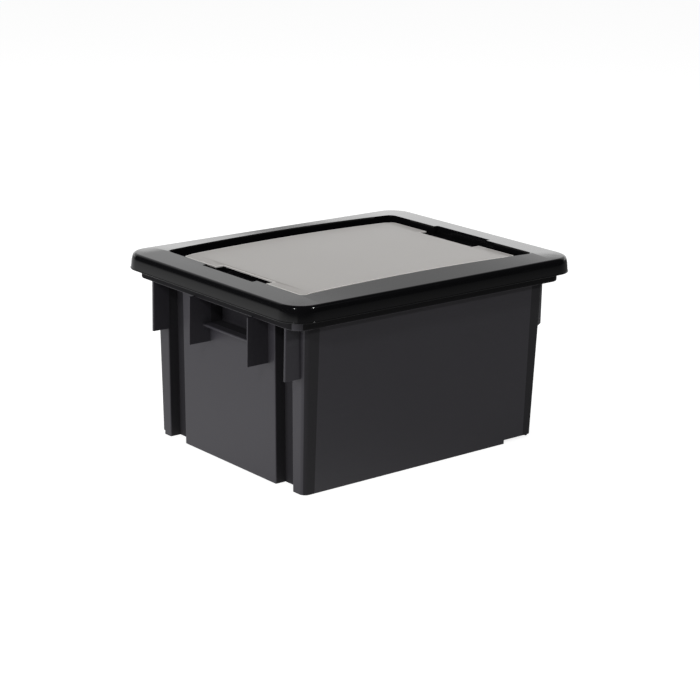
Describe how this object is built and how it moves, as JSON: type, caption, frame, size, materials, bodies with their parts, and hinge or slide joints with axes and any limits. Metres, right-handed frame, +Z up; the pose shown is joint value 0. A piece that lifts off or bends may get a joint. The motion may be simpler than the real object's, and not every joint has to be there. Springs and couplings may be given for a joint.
{
  "type": "portable file box",
  "caption": "Drafted plastic file box with moulded end grips, corner lugs, an inner rail for hanging folders, and a lift-off lid with a raised rim and an inset panel.",
  "frame": {"origin": "on the ground under the middle of the box", "axes": "+X along the box's length, +Y across it, +Z up"},
  "size_m": [0.463, 0.3594, 0.2486],
  "materials": {
    "tub": "fine satin, charcoal",
    "lid": "polished, black",
    "lid_panel": "smooth, warm grey"
  },
  "bodies": {
    "tub_body": {"tub": "tub"},
    "lid_body": {"lid": "lid", "lid_panel": "lid_panel"}
  },
  "joints": [
    {"name": "lid_lift", "type": "slide", "parent": "tub_body", "child": "lid_body", "axis": [0, 0, 1], "range_m": [0, 0.06]}
  ]
}
